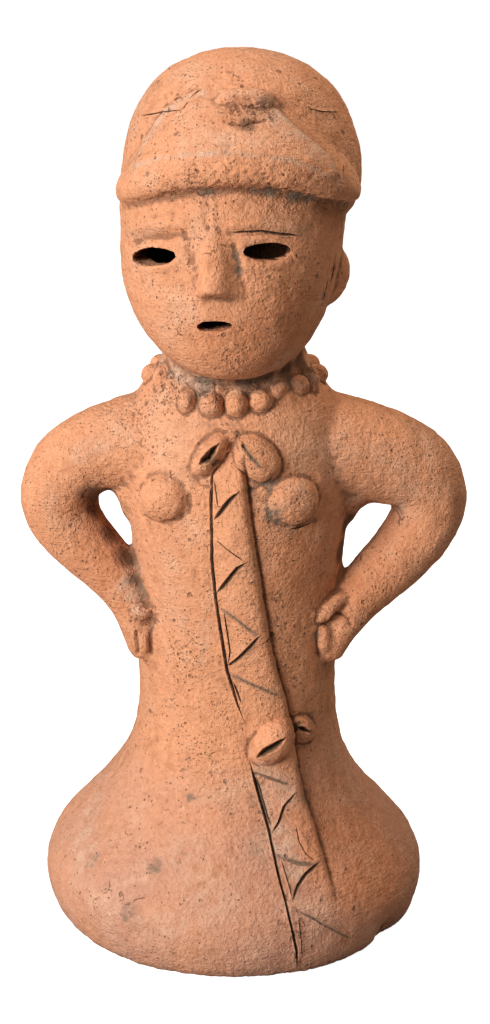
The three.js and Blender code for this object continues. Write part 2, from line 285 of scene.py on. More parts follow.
# how fine the skin is at each stage, in mm, and how often it is softened
skins = {
    "masses": (1.6, 6), "pressed": (1.05 * coarse, 3), "hollow": (2.5, 6), "last": (0.9 * coarse, 2),
}

clay = joinAll(masses, "haniwa")
remesh(clay, *skins["masses"])
print("masses", len(clay.data.vertices))


# Where a straight push from the front, at x and z in mm, meets the clay, and which way it faces.
def frontOf(body, x, z):
    hit, spot, normal, face = body.ray_cast(Vector((x * mm, -0.3, z * mm)), Vector((0, 1, 0)))
    return spot, normal


def roundOf(body, angle, z):
    outwards = Vector((sin(radians(angle)), -cos(radians(angle)), 0))
    hit, spot, normal, face = body.ray_cast(outwards * 0.2 + Vector((0, 0, z * mm)), -outwards)
    return spot, normal


pressedRims = []     # centre, turn, half width, half height and how proud, of each lump pressed on


# A lump pressed on: half width, half height, how proud, and its turn clockwise, seen from outside.
def press(name, place, halfWidth, halfHeight, proud, turn=0):
    spot, normal = place
    lie = faced((0, 0, 1), -normal)
    across = lie.col[0]
    upright = Matrix((across, -normal, across.cross(-normal))).transposed()
    turned = upright @ Matrix.Rotation(radians(turn), 3, "Y")
    pressedRims.append((np.array(spot), np.array(turned), halfWidth, halfHeight, proud))
    return lump(name, spot, (halfWidth, proud, halfHeight), turned)


pressed = {
    # x, z, half width, half height, proud, turn
    "breasts": [(-35.8, 233, 13, 12, 8.3, 0), (28.5, 233, 13.2, 12, 5.6, 0)],
    "bow": [
        (-12.6, 257, 6.5, 12.8, 7.4, 36), (10.8, 255.6, 9.2, 13, 6.8, -38),
        (-1.8, 266.6, 2.4, 3.6, 1.6, 0),
        (17.2, 108.6, 7.4, 12.6, 7.4, 50), (33.8, 111, 7, 9.2, 5.8, -62),
        (25.5, 115.5, 3.4, 3, 2.2, 0),
    ],
    "beads": [
        (-23.6, 281.6, 4.6, 5.8, 5, 10), (-11.6, 280.8, 6.4, 5.6, 5.8, 12),
        (0.6, 281.6, 5.8, 6.6, 5.6, 0),
        (12.4, 282.4, 6, 5.4, 4.8, -20), (20, 286, 7, 3.2, 2, -25), (31.6, 287.4, 5.2, 4.6, 4, 24),
        (-12, 288, 8, 2.8, 2.8, 6), (-34, 286, 7.5, 7, 1.2, 0), (4, 288.6, 7, 2.4, 2.6, -6),
    ],
    # angle round from the front, z, half width, half height, proud, turn
    "beadsRound": [
        (66, 288.6, 5, 6.8, 4.4, 24), (86, 288, 5.2, 5.6, 4.6), (-64, 289.6, 5, 7.2, 4.2, -26),
        (-84, 288.4, 5.2, 5.6, 4.6),
    ],
    # the beads at the back: how many, their first angle and sweep, height, radius, proud
    "backBeads": (9, 108, 144, 289.5, 5.6, 4.5),
}


def backBeads(body):
    count, first, sweep, height, radius, proud = pressed["backBeads"]
    angles = [first + sweep * index / (count - 1) for index in range(count)]
    return [press("backBead", roundOf(body, angle, height), radius, radius, proud)
            for angle in angles]


# hands on the hips: the thumb above, the fingers down the front, each stop x, y, z, radius
hands = {
    "rightThumb": [(-52, -22, 171.5, 3.6), (-47.5, -25, 169.3, 3.8), (-43.2, -26.6, 168, 3.5)],
    "rightFinger": [(-47.2, -22.5, 161, 2.8), (-46.9, -25.6, 154.5, 3.3), (-46.2, -25.6, 147.5, 3.1)],
    "rightPalm": [(-53, -19, 157, 3), (-53, -20.6, 151, 3.3), (-51.5, -20, 146.5, 2.8)],
    "leftThumb": [(55, -19, 178, 3), (49.7, -24.8, 174.2, 3.5), (45.5, -27.6, 170.5, 3.5),
                  (41.5, -28.6, 166, 2.8)],
    "leftFinger": [(44, -26, 163.5, 2.8), (43.9, -27.6, 156.5, 3.2), (45.5, -27, 149, 3)],
}

# about the middle of the head, in mm
face = {
    # x, y, z, radius of one ear, turned with the face; the other mirrors it
    "ear": [
        (44.5, 4, -16, 2), (48.6, 7, -22, 3.4), (51.4, 9.3, -30, 4.5), (49.6, 8, -40, 4.4),
        (42.5, 2, -47, 3.2),
    ],
    # x, y, z, half width, half depth, half height
    "knob": (5, -38.5, 49.5, 14, 7.5, 5), "knobTilt": -30,
}


def ear(side):
    stops = [(side * x, y, z, radius) for x, y, z, radius in face["ear"]]
    return onHead(roll("ear", stops, 12, 1.5), head["faceTurn"])


# The nose is a wedge from the brow to its base. Each end has the x of its sides and their z, the x
# and z of its ridge, the ridge's half width and how far it stands out.
nose = {
    "top": {"sides": (-18.5, 0), "z": 369, "ridge": -10.6, "ridgeZ": 369, "half": 2.8, "proud": 0.9},
    "base": {"sides": (-20.5, 12), "z": 336, "ridge": -11, "ridgeZ": 341, "half": 3.6, "proud": 10.2},
    "sunk": 3, "bevel": 2,
}


def makeNose(body):
    clearSelection()
    bpy.ops.mesh.primitive_cube_add(size=2)
    piece = bpy.context.object
    piece.name = "nose"
    for vertex in piece.data.vertices:
        side = 1 if vertex.co.x > 0 else -1
        end = nose["base" if vertex.co.z < 0 else "top"]
        if vertex.co.y < 0:
            spot = frontOf(body, end["ridge"], end["ridgeZ"])[0]
            vertex.co = spot + Vector((side * end["half"], -end["proud"], 0)) * mm
        else:
            spot = frontOf(body, end["sides"][side > 0], end["z"])[0]
            vertex.co = spot + Vector((0, nose["sunk"], 0)) * mm
    useModifier(piece, "BEVEL", width=nose["bevel"] * mm, segments=3)
    return piece


def pressAll(body):
    pieces = [press(kind, frontOf(body, x, z), *size)
              for kind in ("breasts", "bow", "beads")
              for x, z, *size in pressed[kind]]
    pieces += [press("bead", roundOf(body, angle, z), *size)
               for angle, z, *size in pressed["beadsRound"]]
    pieces += backBeads(body)
    pieces += [roll(name, stops, 12) for name, stops in hands.items()]
    pieces += [ear(-1), ear(1), makeNose(body)]
    x, y, z, halfWidth, halfDepth, halfHeight = face["knob"]
    knob = lump("knob", Vector((x, y, z)) * mm, (halfWidth, halfDepth, halfHeight),
                Euler((radians(face["knobTilt"]), 0, 0)).to_matrix())
    return pieces + [onHead(knob)]


clay = joinAll([clay] + pressAll(clay), "haniwa")
remesh(clay, *skins["pressed"])
print("pressed on", len(clay.data.vertices))


def smoothStep(low, high, values):
    share = np.clip((values - low) / (high - low), 0, 1)
    return share * share * (3 - 2 * share)


# How far each spot is from one place in mm.
def gapTo(spots, x, y, z):
    return np.linalg.norm(spots - np.array((x, y, z)) * mm, axis=1) / mm


# How far each spot is from a line drawn through points, and how far along the line that is.
def reachOf(spots, line):
    line = np.array([tuple(point) for point in line])
    nearest = np.full(len(spots), 1.0)
    along = np.zeros(len(spots))
    near = np.all((spots > line.min(0) - 0.02) & (spots < line.max(0) + 0.02), axis=1)
    close = spots[near]
    best, share = nearest[near], along[near]
    for index, (start, end) in enumerate(zip(line[:-1], line[1:])):
        step = end - start
        place = np.clip((close - start) @ step / max(step @ step, 1e-12), 0, 1)
        gap = np.linalg.norm(close - start - place[:, None] * step, axis=1)
        closer = gap < best
        best[closer] = gap[closer]
        share[closer] = (index + place[closer]) / (len(line) - 1)
    nearest[near], along[near] = best, share
    return nearest, along


# One along a line and a quarter at its very ends.
def endsOf(along, share):
    whole = smoothStep(0, share, along) * smoothStep(0, share, 1 - along)
    return 0.25 + 0.75 * whole


# The points x, z of a line drawn on the front, laid on the clay a step apart.
def laidOn(body, stops, step=3):
    laid = []
    for (x0, z0), (x1, z1) in zip(stops[:-1], stops[1:]):
        count = max(1, round(max(abs(x1 - x0), abs(z1 - z0)) / step))
        laid += [frontOf(body, x0 + (x1 - x0) * n / count, z0 + (z1 - z0) * n / count)
                 for n in range(count)]
    return laid + [frontOf(body, *stops[-1])]


def spotsOn(body, stops):
    return [spot for spot, normal in laidOn(body, stops)]


# the coat's overlap: a strip from the collar to the hem, its right-hand edge standing up
strip = {
    # height and x of the cut line, top to bottom, above and below the bow at the waist
    "cutAbove": [
        (263, 1.4), (256, -5.5), (247.5, -11.3), (235, -11.9), (204, -11.6), (183, -9.7),
        (163, -6.8), (147, -4.4), (128, 1.1), (119, 4.6),
    ],
    "cutBelow": [
        (102, 6.2), (85, 11.1), (68, 16.6), (50, 21.5), (40, 24.9), (29, 27.8), (16, 30.4),
        (2, 30.8),
    ],
    # height, x of its crest and of its foot, and how far it stands up
    "raisedEdge": [
        (263, 2, 3.5, 0), (252, 1, 4, 2.6), (241, 1.2, 6, 4.4), (226, 2.2, 7.5, 5), (211, 3.6, 9.5, 5),
        (195, 5.6, 12.3, 5), (180, 7.1, 14.4, 4.8), (171, 9.3, 15.9, 4.6), (155, 13.3, 18.2, 4.4),
        (139, 16.8, 22.4, 4.2), (130, 19.3, 25.1, 4.2), (112, 23.4, 28.4, 4.2), (90, 26.6, 32, 4.4),
        (77, 29.8, 35.6, 4.2), (64, 35, 40.4, 3.4), (51, 40.6, 45.4, 2.2), (40, 45, 49.4, 0.8),
        (30, 47, 51, 0), (2, 47, 51, 0),
    ],
    "trench": 1.1, "trenchHalfWidth": 1.3, "trenchGap": 0.3, "swelling": 1.8,
}


# The strip swells from its cut line to its crest, then rolls over to its foot, where a trench runs.
def stripRise(spots):
    heights = spots[:, 2] / mm
    across = spots[:, 0] / mm
    cutZ, cutX = np.array((strip["cutAbove"] + strip["cutBelow"])[::-1]).T
    edgeZ, crestX, footX, edgeRise = np.array(strip["raisedEdge"][::-1]).T
    left = np.interp(heights, cutZ, cutX)
    crest = np.interp(heights, edgeZ, crestX)
    foot = np.interp(heights, edgeZ, footX)
    rise = np.interp(heights, edgeZ, edgeRise, left=0, right=0)
    swell = np.clip((across - left) / np.maximum(crest - left, 1), 0, 1)
    rolled = np.clip((across - crest) / (foot - crest), 0, 1)
    shape = (1 - (1 - swell) ** strip["swelling"]) * np.sqrt(1 - rolled ** 2)
    beyond = (across - foot - strip["trenchGap"]) / strip["trenchHalfWidth"]
    amount = rise * shape - strip["trench"] * (np.exp(-beyond ** 2) * np.minimum(1, rise / 3))
    return np.where((across > left) & (spots[:, 1] < 0), amount * mm, 0)


# the plate on the front of the hair, under an arch and above the ridge of the brim, x and z in mm
visor = {
    "arch": [
        (-48, 394), (-44.2, 401.3), (-40.7, 407.9), (-35.8, 414.7), (-30.5, 420.4), (-24.3, 425.1),
        (-15, 428.5), (-3, 430.6), (6, 429.4), (13.8, 424.9), (20.8, 419.5), (27, 413.6),
        (35.6, 407), (43.6, 400), (48, 390),
    ],
    "ridge": [
        (-48, 394), (-44.2, 396.8), (-34.4, 400.9), (-20.4, 403.6), (-9, 404.4), (2.3, 404.4),
        (13.7, 403.4), (26.9, 400.7), (36.6, 396.5), (44.7, 390.9),
    ],
    "rise": 1.7, "archSoftness": 1.3, "step": 1.2, "stepDepth": 5,
    "ridgeRise": 0.55, "ridgeHalfWidth": 1.1,
    # the plate sinks behind the knob between two heights
    "knobHalfWidth": 19, "knobSinks": 0.8, "knobFrom": 410, "knobTo": 418,
    # where all of it fades out: two heights and two half widths
    "lowest": 388, "low": 393, "wide": 43, "widest": 48,
    # the stops of the arch that the knob hides
    "knobStarts": 7, "knobEnds": 9,
}


def visorRise(spots):
    heights = spots[:, 2] / mm
    across = spots[:, 0] / mm
    arch = np.interp(across, *np.array(visor["arch"]).T)
    ridge = np.interp(across, *np.array(visor["ridge"]).T)
    softness = visor["archSoftness"]
    plate = smoothStep(-softness, softness, arch - heights) * visor["rise"]
    sinks = visor["knobSinks"] * np.exp(-(across / visor["knobHalfWidth"]) ** 4)
    plate *= 1 - sinks * smoothStep(visor["knobFrom"], visor["knobTo"], heights)
    below = smoothStep(-0.2, visor["stepDepth"], ridge - heights)
    lip = np.exp(-((heights - ridge - 0.2) / visor["ridgeHalfWidth"]) ** 2) * visor["ridgeRise"]
    amount = plate - below * visor["step"] + lip
    aside = np.abs(across)
    inFront = (spots[:, 1] < 5 * mm) & (aside < visor["widest"]) & (heights > visor["lowest"])
    fadeOut = (smoothStep(visor["lowest"], visor["low"], heights)
               * (1 - smoothStep(visor["wide"], visor["widest"], aside)))
    return np.where(inFront, amount * fadeOut * mm, 0)


# broad shapes thumbed into the soft clay: a line on the front, its half width and its rise in mm
thumbed = [
    ([(-51, 357), (-44.7, 361), (-37, 363.6), (-28, 365.6), (-20.5, 366)], 3.4, -2.3),
    ([(-51, 363.5), (-40, 368.8), (-28, 371), (-20, 371.5)], 3, 1.3),
    ([(-6, 367.6), (4.6, 367.4), (12.4, 367.2), (20.7, 365.6), (30, 364)], 2.6, -1.6),
    ([(-4, 371), (12.4, 371.4), (22, 370), (32, 367.5)], 2.6, 1.1),
    ([(-15.8, 366), (-16, 384)], 1.8, 0.6), ([(-10.4, 368), (-10.2, 384)], 1.5, 0.6),
    ([(-22, 366), (-21.5, 359), (-20.5, 352)], 3, -1.2),
    ([(-49, 350), (-45, 347.8), (-38.5, 348.4), (-31, 350.8), (-26, 354)], 1.5, 0.8),
    ([(3, 356.2), (7, 353.2), (14.5, 352), (21.5, 352), (27, 354)], 1.4, 0.7),
    ([(-44.8, 360), (-37, 361.5), (-29.5, 361.5)], 1.5, 0.6),
    ([(5, 364.3), (12.5, 365.6), (21, 364)], 1.4, 0.6),
    ([(-19.5, 323.5), (-14, 321), (-9, 320.4), (-4, 321.2), (0, 323.8)], 1.3, 0.7),
    ([(-15, 328.8), (-9, 329.8), (-4, 329)], 1.3, 0.5), ([(-46, 341), (-34, 339), (-22, 343)], 5, -0.8),
    ([(-1, 364), (0.8, 357), (2.6, 349)], 2.2, -1.6),
    ([(47.6, 349), (47, 343), (45.4, 337), (43.4, 331.5), (41.5, 327.5)], 1.6, -2),
    ([(-4, 416.4), (4, 415.2), (13, 416.8)], 2, -1.8),
    ([(46, 166.5), (51.2, 169), (56.4, 166.6), (58.5, 162)], 1.4, -1),
    ([(-50.4, 161), (-50.2, 154), (-49.6, 147)], 0.9, -1.5), ([(-43.2, 160), (-42.9, 147)], 1.1, -1.4),
    ([(40.8, 162), (40.6, 154), (42.2, 146.5)], 1.3, -1), ([(-31.5, 289.5), (-30, 285)], 1.6, -1.2),
    ([(-37.5, 292), (-34.5, 293.5)], 1.6, -2.2), ([(-48, 221.8), (-38, 220.5), (-28, 224)], 1.8, -0.9),
    ([(18, 225.5), (28, 220.5), (42, 221)], 2.4, -0.9),
    ([(-22, 248), (-17, 242), (-11, 241.5)], 1.6, -0.9),
    ([(-23, 226), (-22, 232), (-22.6, 238)], 1.4, -0.8),
    ([(3, 240), (9, 240.5), (16, 243.5), (20, 250)], 1.6, -1),
]

# dents, in mm: x, y, z, reach, rise
dents = [
    (79, -53, 5, 10, -5), (-60, 4, 395, 8, -3), (-57, 6, 371, 7, 1.8), (-40, -60, 62, 16, -1.2),
    (24, -84, 48, 14, -0.8), (60, 10, 420, 16, -1), (-14, -64, 356, 8, 0.4), (-36, -46, 341, 9, 0.8),
    (16, -60, 340, 10, 0.7),
]


def pushOut(body, amounts):
    moveTo(body, spotsOf(body) + normalsOf(body) * amounts[:, None])


# cuts made with a blade or a stick: stops x and z on the front, width, depth, and how they end:
# a short cut narrows from its middle, a long one only near its ends
cuts = [
    ([(x, z) for z, x in strip["cutAbove"]], 2, 2.2, "long"),
    ([(x, z) for z, x in strip["cutBelow"]], 2, 2.2, "long"),
    ([(-10.4, 245), (-9.6, 240), (-8.5, 232)], 0.9, 0.8, "long"),
    ([(-5.8, 178.4), (-4.3, 167.8), (-2.8, 157.3), (-3.9, 149.9)], 1, 1, "long"),
    ([(-1.3, 141), (0.6, 136), (2.8, 129.5)], 1.3, 1.3, "short"),
    ([(10.1, 93), (13, 83.5), (16, 74), (18, 69)], 0.9, 0.8, "long"),
    ([(22.6, 56.5), (26.5, 46), (28.2, 40)], 0.9, 0.8, "long"),
    ([(31, 33), (32.6, 22), (33, 12)], 0.9, 0.7, "long"),
    ([(-10.5, 225.5), (-6.6, 231.2), (-3.2, 235.8), (2.2, 241.3)], 3.1, 2.8, "short"),
    ([(-11, 216.8), (-5.2, 212.4), (2.2, 207.3), (5, 204.9)], 0.8, 0.6, "long"),
    ([(-9.2, 187.7), (-3.7, 195.3), (0.7, 201.6), (5.6, 205.4)], 3.1, 2.8, "short"),
    ([(-7.7, 179.9), (-0.3, 175.3), (7.1, 169.4), (11.5, 166)], 3, 0.8, "short"),
    ([(-4.4, 148.8), (2.1, 154.7), (7.1, 160.4), (12.5, 167)], 2.7, 2.6, "short"),
    ([(-3.4, 145.1), (7.1, 140.7), (17.1, 136.1), (22, 133.2)], 3, 0.8, "short"),
    ([(7.1, 94.8), (13.2, 92.9), (19.7, 90.6), (27, 87.5)], 2.2, 0.8, "short"),
    ([(18.1, 66.9), (21.7, 71.3), (24.3, 77.9), (30.9, 84)], 2.2, 2, "short"),
    ([(18.6, 59.1), (24.6, 56.6), (32.1, 54), (40.5, 52.8)], 3, 0.8, "short"),
    ([(27.9, 39.1), (31, 45.3), (35.1, 49.5), (42.3, 53.5)], 2.7, 2.2, "short"),
    ([(30.8, 35.4), (39.3, 30.5), (48, 23.7), (58.4, 15)], 2, 0.7, "long"),
    ([(30.1, 70), (31.8, 62.5), (35, 57.5), (40.5, 53.5)], 0.8, 1, "long"),
    ([(13, 161.5), (16, 163), (18.8, 165.4)], 1.4, 1.8, "short"),
    ([(26.5, 219.3), (32, 219.2), (38, 220.4)], 1.2, 1.2, "short"),
    ([(-3.2, 367.8), (4.6, 368), (12.4, 368), (20.7, 366.3), (29.5, 364.8)], 1.7, 1.6, "long"),
    ([(25.3, 357.6), (28.5, 356), (30.4, 352.3)], 1.2, 1, "short"),
    ([(-45.5, 415), (-40.3, 416.5), (-32.9, 418.8), (-24.8, 420.4), (-22.4, 423.1), (-18.7, 424.5)],
     0.8, 0.8, "long"),
    ([(-21, 425.4), (-17.5, 428.2), (-14.5, 429.6)], 1.1, 0.9, "short"),
    ([(33, 421), (41, 418.4), (50, 416.8)], 0.7, 0.6, "long"),
    ([(50, 391), (50.6, 396)], 1.4, 2, "short"),
    # the slits in the bows
    ([(-7.6, 264.4), (-10.6, 261), (-13.6, 257.4), (-17.4, 254.2)], 5.2, 7, "short"),
    ([(1.8, 265), (8, 257.2), (13.4, 252.2)], 3, 1.15, "short"),
    ([(1.6, 265.4), (5.4, 260.4)], 1.8, 3, "short"),
    ([(10.4, 103.2), (14.4, 107.2), (19.4, 110), (25.4, 113.8)], 5, 6, "short"),
    ([(31, 114.8), (35.2, 113), (38.6, 110.6)], 3.6, 4.5, "short"),
    # creases by the ear
    ([(47.6, 347), (46.6, 342), (45, 337), (43.3, 331.8)], 1.3, 1.5, "long"),
    ([(44.2, 341), (43.2, 336), (41.8, 331)], 0.9, 0.9, "long"),
]

burr = {"reach": 0.9, "rise": 0.5}     # the lips that a blade raises along its cut

lines = [(spotsOn(clay, stops), halfWidth, rise) for stops, halfWidth, rise in thumbed]
lines += [(spotsOn(clay, stops), width / 2 + burr["reach"], burr["rise"])
          for stops, width, depth, ends in cuts]


# holes pushed through the wall while the clay is soft
holes = {
    # middle x and z, half length and half height as they lie on the face, slant, push to one side
    "rightEye": (-39.2, 353.7, 15.2, 4.1, 9, 24), "leftEye": (15.2, 358.5, 11.9, 4.2, -2, -8),
    "mouth": (-9.6, 324.1, 8.6, 2.5, 3, 6),
    "reach": 16,
}


def makeHole(body, name):
    x, z, halfLength, halfHeight, slant, push = holes[name]
    spot, normal = frontOf(body, x, z)
    across = Vector((0, 0, 1)).cross(-normal).normalized()
    turn = Matrix((across, normal.cross(across), normal)).transposed()
    turn = turn @ Matrix.Rotation(radians(slant), 3, "Z")
    inwards = Vector((sin(radians(push)), cos(radians(push)), 0))
    reach = holes["reach"] * mm
    rings = [(spot + inwards * reach * share, halfLength * mm, halfHeight * mm, turn)
             for share in (-1, 0, 1.6)]
    return ringSkin(name, rings, 32, 0)


def cutOut(body, tool):
    useModifier(body, "BOOLEAN", operation="DIFFERENCE", solver="MANIFOLD", object=tool)
    bpy.data.objects.remove(tool)


hollow = joinAll([makeCoat("hollow", coat["hollow"]),
                  onHead(headSkin("skullHollow", head["skullHollow"], 24), head["faceTurn"] / 2)],
                 "hollow")
remesh(hollow, *skins["hollow"])
cutOut(clay, hollow)
for holeName in ("rightEye", "leftEye", "mouth"):
    cutOut(clay, makeHole(clay, holeName))
remesh(clay, *skins["last"])
print("hollowed", len(clay.data.vertices))


# A tight trench round each lump pressed on.
trench = {"depth": 0.9, "halfWidth": 1.4, "gap": 1.04, "fullProud": 4, "broad": 11, "broadShare": 0.2}


def trenches(spots):
    moves = np.zeros_like(spots)
    for centre, turn, halfWidth, halfHeight, proud in pressedRims:
        local = (spots - centre) @ turn / mm
        reach = np.hypot(local[:, 0] / halfWidth, local[:, 2] / halfHeight)
        least = min(halfWidth, halfHeight)
        gap = (reach - trench["gap"]) * least / trench["halfWidth"]
        near = (local[:, 1] > -proud - 3) & (local[:, 1] < 4)
        share = min(1, proud / trench["fullProud"])
        depth = trench["depth"] * share * np.exp(-np.minimum(gap ** 2, 50))
        depth *= trench["broadShare"] if least > trench["broad"] else 1
        moves += np.outer(np.where(near, depth, 0), turn[:, 1])
    return moves * mm


spots = spotsOf(clay)
moveTo(clay, spots + trenches(spots))
spots = spotsOf(clay)
amounts = stripRise(spots) + visorRise(spots)
for line, halfWidth, rise in lines:
    gap, along = reachOf(spots, line)
    amounts += rise * mm * np.exp(-(gap / mm / halfWidth) ** 2 * 1.4) * endsOf(along, 0.12)
for x, y, z, reach, rise in dents:
    amounts += rise * mm * np.exp(-(gapTo(spots, x, y, z) / reach) ** 2)
pushOut(clay, amounts)
print("thumbed")

# how the surface wavers: texture, its size in mm, and how far it moves the skin
wavers = [
    ("CLOUDS", {"noise_scale": 34 * mm, "noise_depth": 1}, 1.6),
    ("CLOUDS", {"noise_scale": 9 * mm, "noise_depth": 2}, 1),
    ("STUCCI", {"noise_scale": 3.4 * mm, "stucci_type": "PLASTIC", "turbulence": 8}, 0.24),
]
# how the rough places crumble
crumble = ("CLOUDS", {"noise_scale": 2.9 * mm, "noise_depth": 2, "noise_type": "HARD_NOISE"}, -1.9)


def waver(body, kind, settings, strength, group=""):
    texture = bpy.data.textures.new(kind.lower(), kind)
    for key, value in settings.items():
        setattr(texture, key, value)
    useModifier(body, "DISPLACE", texture=texture, strength=strength * mm, mid_level=0.5,
                texture_coords="LOCAL", vertex_group=group)


def markGroup(body, name, weights):
    group = body.vertex_groups.new(name=name)
    for index in np.nonzero(weights > 0.01)[0]:
        group.add([int(index)], float(weights[index]), "REPLACE")


# rough places, where the clay dragged or flaked: x, y, z, reach in mm and how rough
roughPlaces = [
    (4, -42, 421, 14, 1), (-4, -60, 393, 9, 1), (10, -60, 393, 9, 1), (-17, -57, 393, 9, 1),
    (22, -55, 391, 9, 1), (-29, -50, 391, 9, 0.8), (33, -50, 389, 10, 0.9), (42, -44, 386, 10, 0.7),
    (32, -32, 423, 12, 0.4), (-48, -27, 168, 9, 1), (-10, -37, 288, 9, 1), (-31, -26, 287, 9, 0.9),
    (34, -18, 289, 9, 0.9), (22, -40, 160, 14, 0.5), (-22, -38, 150, 18, 0.45), (24, -40, 222, 14, 0.5),
    (-38, -20, 268, 22, 0.4), (-70, -18, 226, 20, 0.5), (-27, -22, 423, 8, 0.9), (44, -32, 170, 8, 0.7),
    (20, -50, 338, 18, 0.4), (0, -58, 312, 16, 0.4), (60, 10, 425, 20, 0.5), (-20, -46, 100, 14, 0.3),
    (10, -42, 256, 10, 1), (-12, -42, 256, 8, 0.9), (-12, -42, 281, 8, 0.55), (0, -43, 281, 8, 0.5),
    (12, -42, 283, 8, 0.5), (-24, -38, 281, 7, 0.5), (28, -40, 232, 12, 0.4), (-52, -8, 288, 10, 0.6),
    (34, -46, 112, 7, 0.7), (-2, -40, 268, 6, 0.9), (18, -46, 108, 9, 0.7), (-36, -45, 234, 10, 0.35),
]


footRough = {"share": 0.45, "from": 3, "to": 11}


# The strongest mark of any place on each spot: whole near the place and gone further off.
def spotted(spots, places, whole=0.25, gone=1.25):
    kept = np.zeros(len(spots))
    for x, y, z, reach, share in places:
        gap = gapTo(spots, x, y, z)
        kept = np.maximum(kept, share * (1 - smoothStep(reach * whole, reach * gone, gap)))
    return kept


def roughness(spots):
    smoothFrom = smoothStep(footRough["from"] * mm, footRough["to"] * mm, spots[:, 2])
    return np.maximum(spotted(spots, roughPlaces, 0.55, 1.15), footRough["share"] * (1 - smoothFrom))


for kind, settings, strength in wavers:
    waver(clay, kind, settings, strength)
markGroup(clay, "rough", roughness(spotsOf(clay)))
waver(clay, *crumble, "rough")
print("weathered")


# How far inside the wall each spot lies: 0 on the outer skin, 1 on the inner one.
def innerShare(spots):
    def within(places, rows):
        heights, halfWidths, fronts, backs, middles = np.array(rows).T
        at = places[:, 2] / mm
        halfWidth = np.interp(at, heights, halfWidths)
        front = np.interp(at, heights, fronts)
        back = np.interp(at, heights, backs)
        across = (places[:, 0] / mm - np.interp(at, heights, middles)) / halfWidth
        along = (places[:, 1] / mm - (front + back) / 2) / ((back - front) / 2)
        gap = (np.hypot(across, along) - 1) * halfWidth
        return np.where((at > heights[0] - 2) & (at < heights[-1] + 2), gap, 99)

    coatRows = [(height, halfWidth, -halfDepth, halfDepth, middle)
                for height, halfWidth, halfDepth, middle in coat["hollow"]]
    turned = np.array(headPlace(head["faceTurn"] / 2).inverted())
    local = spots @ turned[:3, :3].T + turned[:3, 3]
    gap = np.minimum(within(spots, coatRows), within(local, head["skullHollow"]))
    return 1 - smoothStep(2, 5.5, gap)


def makeGround():
    clearSelection()
    bpy.ops.mesh.primitive_cube_add(size=0.4, location=(0, 0, -0.2))
    return bpy.context.object


# The mesh is thinned before the crisp cuts, least on the front.
thinning = {"triangles": 182000, "frontTo": 25, "keepFront": 0.55, "keepBack": 0.25, "factor": 0.6}
spots = spotsOf(clay)
keep = np.where(spots[:, 1] < thinning["frontTo"] * mm, thinning["keepFront"], thinning["keepBack"])
markGroup(clay, "thin", np.clip(1 - keep * (1 - innerShare(spots)), 0, 1))
useModifier(clay, "DECIMATE", ratio=thinning["triangles"] / (2 * len(clay.data.polygons)),
            vertex_group="thin", vertex_group_factor=thinning["factor"],
            use_collapse_triangulate=True)
clay.vertex_groups.clear()
print("thinned", len(clay.data.polygons))

# the line at the bottom of each deep cut and each flat stroke, and how far its lips are from it
cutBottoms, strokeBottoms = [], []


def cutLine(body, stops, width, depth, ends):
    laid = laidOn(body, stops, 2.5)
    last = len(laid) - 1
    rings = []
    bottoms = cutBottoms if depth > 0.4 * width else strokeBottoms
    bottoms.append(([spot - normal * depth * 0.8 * mm for spot, normal in laid],
                    np.hypot(depth * 0.8, width / 2)))
    for index, (spot, normal) in enumerate(laid):
        share = index / last
        belly = sin(pi * share) ** 0.45 if ends == "short" else min(1, 8 * share, 8 * (1 - share))
        belly = max(belly, 0.12)
        along = laid[min(index + 1, last)][0] - laid[max(index - 1, 0)][0]
        rings.append((spot, width / 2 * belly * mm, depth * belly * mm, faced(along, normal)))
    cutOut(body, ringSkin("blade", rings, 4, 0))


for stops, width, depth, ends in cuts:
    cutLine(clay, stops, width, depth, ends)
cutOut(clay, makeGround())
print("cut", len(clay.data.polygons))

